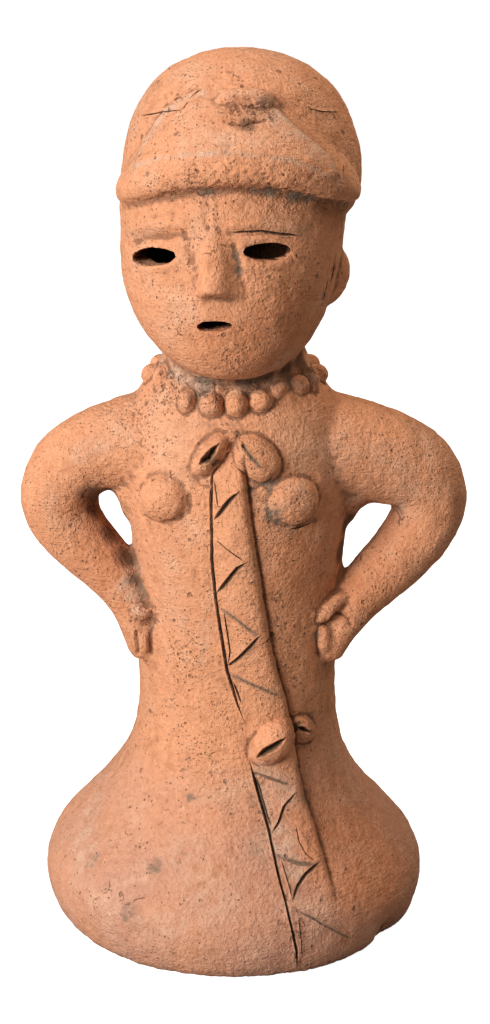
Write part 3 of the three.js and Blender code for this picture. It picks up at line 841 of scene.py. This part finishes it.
# grey wash left in the recesses, with painted shade under the brim and beside the strip's raised edge:
# x, y, z, reach in mm and strength
washesAndShade = [
    (-14, -42, 272, 7, 0.6), (-1, -42, 270, 6, 0.6), (9, -45, 240, 6, 0.7), (17, -43, 243, 8, 0.7),
    (19, -44, 227, 8, 0.9), (26, -43, 219, 8, 0.6), (-27, -40, 247, 6, 0.5), (-22, -42, 243, 6, 0.5),
    (-14, -33, 289, 8, 0.8), (-26, -25, 290, 6, 0.6), (-32, -20, 291, 6, 0.6), (6, -34, 290, 8, 0.5),
    (26, -28, 289, 6, 0.8), (37, -20, 289, 6, 0.8), (1.5, -59, 350, 5, 0.9), (0, -58, 358, 5, 0.8),
    (-36, -48, 345, 8, 0.3), (-5, -60, 406, 6, 0.5), (24, -38, 417, 8, 0.4), (38, -36, 407, 8, 0.35),
    (14, -30, 424, 8, 0.5), (-44, -30, 160, 5, 0.9), (-48, -20, 180, 5, 0.7), (40, -30, 158, 5, 0.7),
    (-23, -53, 81, 4, 0.8), (8, -56, 80, 5, 0.7), (14, -52, 96, 6, 0.5), (20, -50, 84, 6, 0.7),
    (26, -62, 66, 6, 0.6), (32, -76, 45, 6, 0.7), (-72, -52, 44, 9, 0.6), (-40, -71, 51, 7, 0.75),
    (-52, -83, 30, 10, 0.7), (-14, -82, 40, 8, 0.5), (10, -70, 60, 7, 0.5), (33, -42, 122, 6, 0.7),
    (40, -34, 116, 6, 0.7), (38, -31, 106, 5, 0.5), (-33, -47, 121, 4, 0.5), (-40, -50, 60, 6, 0.3),
    (38, -34, 222, 6, 0.4), (45, -26, 340, 4, 0.8), (42, -30, 332, 4, 0.7), (8, -58, 387, 5, 0.8),
    (16, -56, 386, 6, 1), (28, -49, 384, 6, 1.1), (35, -44, 383, 5, 1), (-14, -57, 388, 6, 0.7),
    (-32, -51, 386.5, 6, 0.5), (40, -46, 92, 9, 0.8), (38, -50, 80, 8, 0.7), (-64, -14, 60, 6, 0.3),
    (13, -47, 172, 5, 0.4), (22, -46, 150, 6, 0.6),
]

# painted shade, with some soot, in the crooks of the arms, under the chin and under the knob
sootsAndShade = [
    (-74, -8, 231, 12, 1), (-68, -6, 222, 12, 1), (-62, -8, 207, 9, 0.9), (-56, -12, 195, 8, 0.9),
    (-52, -16, 184, 6, 0.8), (-55, 0, 215, 10, 0.7), (60, -6, 225, 9, 0.9), (56, -8, 212, 9, 1),
    (53, -12, 198, 9, 1), (70, -6, 229, 8, 0.9), (80, -5, 224, 7, 0.7), (80, -2, 214, 5, 0.5),
    (4, -38, 293, 7, 1), (15, -36, 294, 8, 1), (27, -28, 295, 8, 1), (-8, -38, 292, 5, 0.6),
    (33, -16, 296, 9, 1), (31, -26, 288, 6, 0.6), (-18, -30, 294, 6, 0.5), (5, -50, 415.5, 7, 0.8),
    (-1, -46, 422, 12, 0.4), (12, -44, 421, 9, 0.45),
]

# pale films of silt, and a painted highlight along the brim's ridge: a line on the front, its reach in
# mm and strength
filmsAndHighlight = [
    (visor["arch"][:visor["knobStarts"]], 3.4, 0.8), (visor["arch"][visor["knobEnds"]:], 4.4, 0.8),
    ([(20, 417), (30, 409), (38, 402)], 7, 0.6), ([(-20, 410), (10, 410)], 9, 0.35),
    # the pale line along the brim's ridge is a painted highlight
    (visor["ridge"], 1.5, 0.9), ([(-14, 427), (8, 430)], 4, 0.3), ([(-50, 362), (-36, 368)], 4, 0.3),
    ([(16, 372), (34, 366)], 5, 0.4), ([(-40, 296), (-12, 290)], 6, 0.9),
    ([(-8, 290), (20, 290)], 5, 0.5), ([(-48, 172), (-56, 182), (-50, 190)], 6, 0.7),
    ([(-17, 150), (-14, 170)], 4, 0.4), ([(14, 98), (26, 84)], 7, 0.7), ([(22, 66), (30, 50)], 7, 0.7),
    ([(12, 94), (17, 70)], 3, 0.6), ([(-75, 60), (-80, 40)], 12, 0.5),
    ([(-30, 58), (-10, 40)], 14, 0.35), ([(-45, 26), (-30, 30)], 10, 0.4),
    ([(26, 240), (34, 243)], 5, 0.4), ([(88, 232), (84, 244)], 7, 0.3),
    ([(-78, 250), (-66, 256)], 8, 0.35), ([(84, 214), (82, 224)], 4, 0.7),
]

# how the fired color drifts, paler above nought and redder and darker below, with painted light on the
# shaded side of the chest and hair and painted shade on the chin, under the brim, on the shaded arm and
# on the skirt's shaded side: x, y, z, reach and amount
tonesAndShade = [
    (-40, -36, 262, 22, 0.45), (-28, -42, 246, 16, 0.3), (-18, -40, 274, 14, 0.3),
    (26, -42, 266, 20, 0.4), (42, -34, 262, 18, 0.3), (56, -20, 392, 26, 0.3), (50, -20, 410, 22, 0.2),
    (-90, -8, 216, 18, -0.5), (-78, -12, 198, 16, -0.8), (-66, -14, 186, 14, -1),
    (-54, -18, 170, 12, -0.8), (84, -8, 200, 18, -0.5), (72, -14, 184, 16, -0.7),
    (60, -18, 170, 12, -0.7), (-4, -58, 312, 18, -1), (14, -54, 318, 18, -0.9),
    (32, -46, 326, 18, -0.5), (32, -40, 206, 26, -0.8), (38, -34, 180, 20, -0.6),
    (-30, -42, 190, 20, -0.3), (40, -36, 140, 24, -0.4), (28, -48, 345, 16, -0.4),
    (70, -50, 40, 34, -1), (50, -64, 60, 28, -0.8), (0, -62, 393, 13, -0.5), (-24, -54, 392, 12, -0.4),
    (26, -54, 390, 13, -0.5), (0, -46, 421, 12, -0.4),
]

filmAndHighlightLines = [(spotsOn(clay, stops), reach, share) for stops, reach, share in filmsAndHighlight]

# The body takes its place in the frame.
pick(clay)
clay.location.x = bodyX
bpy.ops.object.transform_apply(location=True, rotation=True, scale=True)
bpy.ops.object.shade_smooth_by_angle(angle=radians(40))


# Values kept on the skin for the clay's finish.
def keepOn(body, name, values):
    attribute = body.data.attributes.new(name, "FLOAT", "POINT")
    attribute.data.foreach_set("value", values.astype(np.float32))


# How far each spot lies in a hollow, in mm: below where it goes when the skin is softened.
def hollowness(body, rounds):
    first, second = valuesOf(body.data.edges, "vertices", 2, np.int64).T
    start = spotsOf(body)
    count = np.bincount(first, minlength=len(start)) + np.bincount(second, minlength=len(start))
    softened = start.copy()
    for _ in range(rounds):
        total = np.empty_like(softened)
        for axis in range(3):
            total[:, axis] = (np.bincount(first, softened[second, axis], len(start))
                              + np.bincount(second, softened[first, axis], len(start)))
        softened = 0.4 * softened + 0.6 * total / np.maximum(count, 1)[:, None]
    return np.einsum("ij,ij->i", softened - start, normalsOf(body)) / mm


def tonedAndShaded(spots):
    kept = np.zeros(len(spots))
    for x, y, z, reach, share in tonesAndShade:
        gap = gapTo(spots, x, y, z)
        kept += share * np.exp(-(gap / reach) ** 2)
    return np.clip(kept, -1, 1)


def filmedAndHighlighted(spots):
    kept = np.zeros(len(spots))
    for line, reach, share in filmAndHighlightLines:
        gap, along = reachOf(spots, line)
        kept = np.maximum(kept, share * (1 - smoothStep(0.2 * reach, 1.2 * reach, gap / mm)))
    return kept


# How near each spot is to the bottom of a cut or stroke: painted shadow for the deep cuts, grey marks
# for the flat strokes.
def cutShadeAndStain(spots, bottoms):
    tint = np.zeros(len(spots))
    for line, reach in bottoms:
        gap, along = reachOf(spots, line)
        fade = 1 - smoothStep(0.45 * reach, 1.05 * reach, gap / mm)
        tint = np.maximum(tint, endsOf(along, 0.15) * fade)
    return tint


bodySpots = spotsOf(clay) - np.array((bodyX, 0, 0))
inner = innerShare(bodySpots)
marks = {
    "cut": cutShadeAndStain(bodySpots, cutBottoms), "stroke": cutShadeAndStain(bodySpots, strokeBottoms),
    # crease: painted shade in small hollows; shelter: large hollows that gather grey wash and painted
    # shade
    "crease": np.clip(hollowness(clay, 3) * 2.2, -1, 1),
    "shelter": np.clip(hollowness(clay, 26) * 0.55, -1, 1),
    "rough": roughness(bodySpots), "washAndShade": spotted(bodySpots, washesAndShade),
    "sootAndShade": spotted(bodySpots, sootsAndShade), "filmAndHighlight": filmedAndHighlighted(bodySpots), "toneAndShade": tonedAndShaded(bodySpots),
}
for markName, values in marks.items():
    keepOn(clay, markName, values)
print("marked", len(clay.data.vertices))


# materials
def isSocket(value):
    return isinstance(value, bpy.types.NodeSocket)


def addNode(tree, kind, inputs=None, **settings):
    made = tree.nodes.new(kind)
    for key, value in settings.items():
        setattr(made, key, value)
    for key, value in (inputs or {}).items():
        if isSocket(value):
            tree.links.new(value, made.inputs[key])
        else:
            made.inputs[key].default_value = value
    return made


def reckon(tree, operation, *values, clamp=False):
    node = addNode(tree, "ShaderNodeMath", dict(enumerate(values)), operation=operation)
    node.use_clamp = clamp
    return node.outputs[0]


def times(tree, first, second):
    return reckon(tree, "MULTIPLY", first, second)


# A share of one value on top of another.
def addShare(tree, value, share, base, clamp=False):
    return reckon(tree, "MULTIPLY_ADD", value, share, base, clamp=clamp)


def blendColors(tree, share, first, second):
    first, second = [color if isSocket(color) else (*color, 1) for color in (first, second)]
    return addNode(tree, "ShaderNodeMix", {0: share, 6: first, 7: second},
                   data_type="RGBA", blend_type="MIX").outputs[2]


def spread(tree, value, low, high, toLow=0.0, toHigh=1.0):
    limits = {"From Min": low, "From Max": high, "To Min": toLow, "To Max": toHigh}
    return addNode(tree, "ShaderNodeMapRange", {"Value": value, **limits},
                   interpolation_type="SMOOTHSTEP").outputs["Result"]


# A node group that takes a vector and some amounts, and puts out one value.
def newGroup(name, **amounts):
    group = bpy.data.node_groups.new(name, "ShaderNodeTree")
    group.interface.new_socket(name="Vector", in_out="INPUT", socket_type="NodeSocketVector")
    for label, amount in amounts.items():
        socket = group.interface.new_socket(name=label, in_out="INPUT", socket_type="NodeSocketFloat")
        socket.default_value = amount
    group.interface.new_socket(name="Value", in_out="OUTPUT", socket_type="NodeSocketFloat")
    given = group.nodes.new("NodeGroupInput").outputs
    return group, given, group.nodes.new("NodeGroupOutput").inputs[0]


def noiseAt(tree, vector, scale, detail, output="Fac"):
    return addNode(tree, "ShaderNodeTexNoise",
                   {"Vector": vector, "Scale": scale, "Detail": detail}).outputs[output]


# A place pushed about by a noise, by up to a reach in metres.
def wobbled(tree, vector, scale, detail, reach):
    push = addNode(tree, "ShaderNodeVectorMath",
                   {0: noiseAt(tree, vector, scale, detail, "Color"), 1: (reach,) * 3},
                   operation="MULTIPLY")
    return addNode(tree, "ShaderNodeVectorMath", {0: vector, 1: push.outputs[0]}).outputs[0]


def centred(tree, value, strength):
    return times(tree, times(tree, reckon(tree, "SUBTRACT", value, 0.5), 2), strength)


# Small pits of one size: some cells of a scatter hold a pit, more of them where Amount is high.
def makePits():
    group, given, out = newGroup("pits", Scale=400, Amount=0.3)
    place = wobbled(group, given["Vector"], 700, 2, 0.0012)
    cells = addNode(group, "ShaderNodeTexVoronoi",
                    {"Vector": place, "Scale": given["Scale"], "Randomness": 1})
    which = addNode(group, "ShaderNodeSeparateColor", {0: cells.outputs["Color"]})
    size = addShare(group, which.outputs[1], 0.26, 0.14)
    pit = spread(group, cells.outputs["Distance"], size, times(group, size, 0.45))
    chosen = reckon(group, "LESS_THAN", which.outputs[0], given["Amount"])
    group.links.new(times(group, pit, chosen), out)
    return group


# Unevenness at one scale, centred on nought.
def makeMottle():
    group, given, out = newGroup("mottle", Scale=20, Detail=3, Strength=1)
    noise = noiseAt(group, given["Vector"], given["Scale"], given["Detail"])
    group.links.new(centred(group, noise, given["Strength"]), out)
    return group


# Fine cracks: the edges of wandering cells, broken off where a coarse noise is low.
def makeCracks():
    group, given, out = newGroup("cracks", Scale=90)
    place = wobbled(group, given["Vector"], 260, 4, 0.007)
    cells = addNode(group, "ShaderNodeTexVoronoi",
                    {"Vector": place, "Scale": given["Scale"], "Randomness": 1},
                    feature="DISTANCE_TO_EDGE")
    gaping = spread(group, noiseAt(group, given["Vector"], 62, 3), 0.61, 0.7)
    edge = spread(group, cells.outputs["Distance"], times(group, gaping, 0.035), 0)
    group.links.new(times(group, edge, gaping), out)
    return group


# Marks of a wiping hand or a scraper, long in one direction.
def makeWiped():
    group, given, out = newGroup("wiped", Scale=150, Stretch=6)
    drawn = addNode(group, "ShaderNodeCombineXYZ", {0: 1, 1: 1, 2: given["Stretch"]})
    place = addNode(group, "ShaderNodeVectorMath", {0: given["Vector"], 1: drawn.outputs[0]},
                    operation="MULTIPLY").outputs[0]
    where = spread(group, noiseAt(group, given["Vector"], 22, 2), 0.35, 0.65)
    group.links.new(centred(group, noiseAt(group, place, given["Scale"], 4), where), out)
    return group


pitsGroup, mottleGroup = makePits(), makeMottle()
cracksGroup, wipedGroup = makeCracks(), makeWiped()


def useGroup(tree, group, **inputs):
    return addNode(tree, "ShaderNodeGroup", inputs, node_tree=group).outputs[0]


def newMaterial(name):
    material = bpy.data.materials.new(name)
    material.use_nodes = True
    tree = material.node_tree
    return material, tree, tree.nodes["Principled BSDF"]


# the clay's colours; some stand in for light: the dark crease and cut colours paint shade, the grey
# wash, soot, pinker skirt and deeper colour partly paint shade, and the lighter colour and pale silt
# partly paint light
clayColors = {
    "orange": (0.62, 0.26, 0.126), "pinkAndShaded": (0.42, 0.21, 0.148), "pale": (0.70, 0.40, 0.25),
    "lightAndLit": (0.74, 0.46, 0.31), "deepAndShaded": (0.5, 0.18, 0.075),
    "brown": (0.32, 0.12, 0.055), "washAndShade": (0.14, 0.108, 0.08), "pit": (0.12, 0.05, 0.028),
    "grain": (0.78, 0.5, 0.34), "crease": (0.17, 0.075, 0.04), "sootAndShade": (0.075, 0.038, 0.022),
    "cut": (0.062, 0.042, 0.028), "siltAndHighlight": (0.48, 0.34, 0.255),
    "shade": (0.22, 0.09, 0.045), "gleam": (1, 0.68, 0.48),
    "innerDark": (0.1, 0.04, 0.02), "innerRed": (0.16, 0.07, 0.035),
}


# unevenness at four scales: scale, detail and strength
unevenness = {
    "broad": (11, 3, 1.3), "middle": (48, 6, 1.3), "small": (190, 5, 1.2), "fine": (520, 4, 1.2),
}
pitSizes = ((900, 2), (520, 1.4), (230, 0.5))     # scale, and share of the amount


# Mixes a colour in by a mask: real stains for some masks, painted shade for others.
def stainAndShadeWith(tree, color, mask, strength, tint):
    return blendColors(tree, times(tree, mask, strength), color, clayColors[tint])


# Orange above, and pinker and darker low on the skirt, the darkening partly painted shade; with pale
# and brown patches, and lighter and deeper patches that are partly painted light and shade.
def bodyColor(tree, height, noise, toneAndShade):
    # the skirt's lower part is pinker and darker: partly the clay's own colour, partly painted shade
    low = spread(tree, height, 0.13, 0.05)
    pinkAndShadeShare = reckon(tree, "ADD", times(tree, low, 0.7), times(tree, noise["broad"], 0.6))
    pinkAndShadeShare = addShare(tree, noise["middle"], 0.35, pinkAndShadeShare, clamp=True)
    color = blendColors(tree, pinkAndShadeShare, clayColors["orange"], clayColors["pinkAndShaded"])
    pale = spread(tree, addShare(tree, noise["broad"], 0.4, noise["middle"]), 0, 0.8)
    color = stainAndShadeWith(tree, color, pale, 0.5, "pale")
    tint = spread(tree, addShare(tree, noise["small"], 0.5, noise["middle"]), -0.1, -0.8)
    color = stainAndShadeWith(tree, color, tint, 0.5, "brown")
    # the drift holds the clay's own lighter and deeper patches, and painted light and painted shade
    drift = addShare(tree, noise["middle"], 0.3, toneAndShade)
    color = blendColors(tree, spread(tree, drift, 0.1, 1.1, 0, 0.75), color, clayColors["lightAndLit"])
    return blendColors(tree, spread(tree, drift, -0.1, -1.1, 0, 0.85), color, clayColors["deepAndShaded"])


# Pits are more frequent in the rough places and above the skirt.
def pitsOf(tree, place, height, noise, rough):
    amount = addShare(tree, rough, 0.4, spread(tree, height, 0.06, 0.12, 0.06, 0.17))
    amount = times(tree, amount, spread(tree, noise["middle"], -0.3, 0.5, 0.2, 1.7))
    pits = [useGroup(tree, pitsGroup, Vector=place, Scale=scale, Amount=times(tree, amount, share))
            for scale, share in pitSizes]
    return reckon(tree, "MAXIMUM", pits[0], reckon(tree, "MAXIMUM", pits[1], pits[2]))


# Fine grain lightens and darkens a little.
def grained(tree, color, noise):
    grain = addShare(tree, noise["small"], 0.5, addShare(tree, noise["fine"], 0.5, 0.5), clamp=True)
    return blendColors(tree, grain, blendColors(tree, 0.24, color, clayColors["shade"]),
                       blendColors(tree, 0.12, color, clayColors["gleam"]))


# Painted shade in the creases and the cuts, grey wash and painted shade in the sheltered places, soot
# and painted shade in the crooks.
def soiledAndShaded(tree, place, color, noise, kept):
    # painted shade in the creases
    crease = spread(tree, addShare(tree, noise["small"], 0.1, kept["crease"]), 0.05, 0.6)
    color = stainAndShadeWith(tree, color, crease, 0.7, "crease")
    broken = useGroup(tree, mottleGroup, Vector=place, Scale=330, Detail=6, Strength=1.4)
    # grey wash and painted shade gather in the sheltered places
    sheltered = spread(tree, kept["shelter"], 0.15, 0.8)
    gathered = addShare(tree, sheltered, 0.35, kept["washAndShade"])
    gathered = addShare(tree, broken, 0.5, gathered)
    washedAndShaded = spread(tree, addShare(tree, noise["middle"], 0.3, gathered), 0.25, 1.15)
    washedAndShaded = reckon(tree, "MAXIMUM", washedAndShaded, times(tree, kept["stroke"], 0.95))
    color = stainAndShadeWith(tree, color, washedAndShaded, 0.8, "washAndShade")
    # painted shade, with some soot, in the crooks of the arms, under the chin and under the knob
    sootAndShadeShare = spread(tree, addShare(tree, noise["small"], 0.25, kept["sootAndShade"]), 0.1, 0.95)
    color = stainAndShadeWith(tree, color, sootAndShadeShare, 0.8, "sootAndShade")
    # painted shadow inside the deep cuts
    return stainAndShadeWith(tree, color, spread(tree, kept["cut"], 0.08, 0.6), 0.85, "cut")


def clayRelief(tree, place, height, noise, pitted, cracked):
    wiped = useGroup(tree, wipedGroup, Vector=place, Scale=150, Stretch=6)
    grit = useGroup(tree, mottleGroup, Vector=place, Scale=1300, Detail=3, Strength=0.3)
    relief = times(tree, pitted, -1)
    relief = addShare(tree, cracked, -1, relief)
    relief = addShare(tree, noise["fine"], 0.55, relief)
    relief = addShare(tree, noise["small"], spread(tree, height, 0.06, 0.14, 0.3, 0.5), relief)
    relief = addShare(tree, wiped, 0.5, relief)
    return reckon(tree, "ADD", relief, grit)


def finishClay(tree, surface, color, relief, finish):
    bump = addNode(tree, "ShaderNodeBump", {
        "Strength": finish["bump"], "Distance": finish["depth"] * mm, "Height": relief})
    tree.links.new(color, surface.inputs["Base Color"])
    tree.links.new(bump.outputs["Normal"], surface.inputs["Normal"])
    surface.inputs["Roughness"].default_value = finish["roughness"]
    surface.inputs["Specular IOR Level"].default_value = finish["specular"]


outerFinish = {"bump": 1, "depth": 0.9, "roughness": 0.86, "specular": 0.22}
innerFinish = {"bump": 0.9, "depth": 0.8, "roughness": 0.92, "specular": 0.15}


def makeFiredClay():
    material, tree, surface = newMaterial("firedClay")
    place = addNode(tree, "ShaderNodeTexCoord").outputs["Object"]
    height = addNode(tree, "ShaderNodeSeparateXYZ", {0: place}).outputs["Z"]
    kept = {name: addNode(tree, "ShaderNodeAttribute", attribute_name=name).outputs["Fac"]
            for name in marks}
    noise = {name: useGroup(tree, mottleGroup, Vector=place, Scale=scale, Detail=detail,
                            Strength=strength)
             for name, (scale, detail, strength) in unevenness.items()}
    color = bodyColor(tree, height, noise, kept["toneAndShade"])
    # pale silt, and a painted highlight along the brim's ridge
    siltAndHighlight = reckon(tree, "MULTIPLY", kept["filmAndHighlight"], addShare(tree, noise["small"], 0.9, 0.55),
                  clamp=True)
    color = blendColors(tree, siltAndHighlight, color, clayColors["siltAndHighlight"])
    pitted = pitsOf(tree, place, height, noise, kept["rough"])
    color = stainAndShadeWith(tree, color, pitted, 0.7, "pit")
    cracked = useGroup(tree, cracksGroup, Vector=place, Scale=95)
    color = stainAndShadeWith(tree, color, cracked, 0.5, "pit")
    grains = useGroup(tree, pitsGroup, Vector=place, Scale=760, Amount=0.12)
    color = stainAndShadeWith(tree, color, grains, 0.4, "grain")
    color = soiledAndShaded(tree, place, grained(tree, color, noise), noise, kept)
    relief = clayRelief(tree, place, height, noise, pitted, cracked)
    finishClay(tree, surface, color, relief, outerFinish)
    return material


# The inner wall is the same clay left as it was coiled: darker, redder, never smoothed.
def makeInnerWall():
    material, tree, surface = newMaterial("innerWall")
    place = addNode(tree, "ShaderNodeTexCoord").outputs["Object"]
    middle = useGroup(tree, mottleGroup, Vector=place, Scale=60, Detail=5, Strength=1)
    fine = useGroup(tree, mottleGroup, Vector=place, Scale=400, Detail=4, Strength=1)
    color = blendColors(tree, addShare(tree, middle, 0.5, 0.5, clamp=True),
                        clayColors["innerDark"], clayColors["innerRed"])
    pits = useGroup(tree, pitsGroup, Vector=place, Scale=300, Amount=0.4)
    color = stainAndShadeWith(tree, color, pits, 0.5, "pit")
    relief = addShare(tree, fine, 0.5, times(tree, pits, -1))
    finishClay(tree, surface, color, relief, innerFinish)
    return material


# The faces whose first corner lies inside the wall take the second material.
def dressClay(body, share):
    body.data.materials.clear()
    body.data.materials.append(makeFiredClay())
    body.data.materials.append(makeInnerWall())
    corners = valuesOf(body.data.loops, "vertex_index", 1, np.int64)[:, 0]
    starts = valuesOf(body.data.polygons, "loop_start", 1, np.int64)[:, 0]
    inside = inner[corners[starts]] > share
    body.data.polygons.foreach_set("material_index", inside.astype(np.int32))


dressClay(clay, 0.6)
print("materials")

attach(clay, "root")
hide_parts("haniwa_figure")

# stage: a pale round floor that curves up at its edge
stage = {
    "radius": 3.2, "curve": 1.6, "steps": 8,
    # the floor as it is seen, its own glow, and the color it throws on the figure
    "color": (0.5, 0.5, 0.5), "glow": 0.93, "thrown": (0.3, 0.29, 0.28),
    # place, size, watts, color
    "lights": {
        "key": ((-1.52, -1.42, 0.94), 1.2, 77, (1.0, 0.98, 0.95)),
        "topLeft": ((-0.82, 0.05, 2.26), 1.0, 13, (0.96, 0.98, 1.0)),
        "back": ((0.8, 0.85, 2.06), 1.0, 22, (1.0, 0.86, 0.68)),
        "fill": ((1.05, -0.6, 1.94), 1.2, 13.5, (1.0, 0.82, 0.66)),
    },
    "aim": (0, 0, 0.22), "air": 0.02, "airColor": (1, 0.93, 0.86, 1),
}


def makeFloor():
    clearSelection()
    bpy.ops.mesh.primitive_circle_add(vertices=96, radius=stage["radius"], fill_type="NGON")
    piece = bpy.context.object
    piece.name = "floor"
    bpy.ops.object.mode_set(mode="EDIT")
    bpy.ops.mesh.select_all(action="SELECT")
    bpy.ops.mesh.region_to_loop()
    curve, steps = stage["curve"], stage["steps"]
    for index in range(steps):
        before = pi / 2 * index / steps
        after = pi / 2 * (index + 1) / steps
        bpy.ops.mesh.extrude_edges_move(
            TRANSFORM_OT_translate={"value": (0, 0, curve * (cos(before) - cos(after)))})
        wider = (stage["radius"] + curve * sin(after)) / (stage["radius"] + curve * sin(before))
        bpy.ops.transform.resize(value=(wider, wider, 1), center_override=(0, 0, 0))
    bpy.ops.object.mode_set(mode="OBJECT")
    bpy.ops.object.shade_smooth_by_angle(angle=radians(30))
    material, tree, surface = newMaterial("paleFloor")
    seen = addNode(tree, "ShaderNodeLightPath").outputs["Is Camera Ray"]
    tree.links.new(blendColors(tree, seen, stage["thrown"], stage["color"]),
                   surface.inputs["Base Color"])
    surface.inputs["Emission Color"].default_value = (1, 1, 1, 1)
    tree.links.new(times(tree, seen, stage["glow"]), surface.inputs["Emission Strength"])
    surface.inputs["Roughness"].default_value = 1
    surface.inputs["Specular IOR Level"].default_value = 0
    piece.data.materials.append(material)
    return piece


def makeLight(name, place, size, watts, color):
    clearSelection()
    aim = Vector(stage["aim"]) - Vector(place)
    bpy.ops.object.light_add(type="AREA", location=place,
                             rotation=aim.to_track_quat("-Z", "Y").to_euler())
    lamp = bpy.context.object
    lamp.name = name
    lamp.data.shape = "DISK"
    lamp.data.size = size
    lamp.data.energy = watts
    lamp.data.color = color


makeFloor()
for lampName, settings in stage["lights"].items():
    makeLight(lampName, *settings)
world = bpy.data.worlds.new("air")
world.use_nodes = True
background = world.node_tree.nodes["Background"].inputs
background["Color"].default_value = stage["airColor"]
background["Strength"].default_value = stage["air"]
bpy.context.scene.world = world
bpy.context.scene.view_settings.view_transform = "Standard"
print("stage")

# camera, a little above the head and looking down
view = {"place": (0.0006, -0.99, 0.527), "pitch": 72.5, "lens": 71.7, "sensor": 36}
clearSelection()
bpy.ops.object.camera_add(location=view["place"], rotation=(radians(view["pitch"]), 0, 0))
camera = bpy.context.object
camera.name = "camera"
camera.data.lens = view["lens"]
camera.data.sensor_width = view["sensor"]
camera.data.clip_end = 50
bpy.context.scene.camera = camera
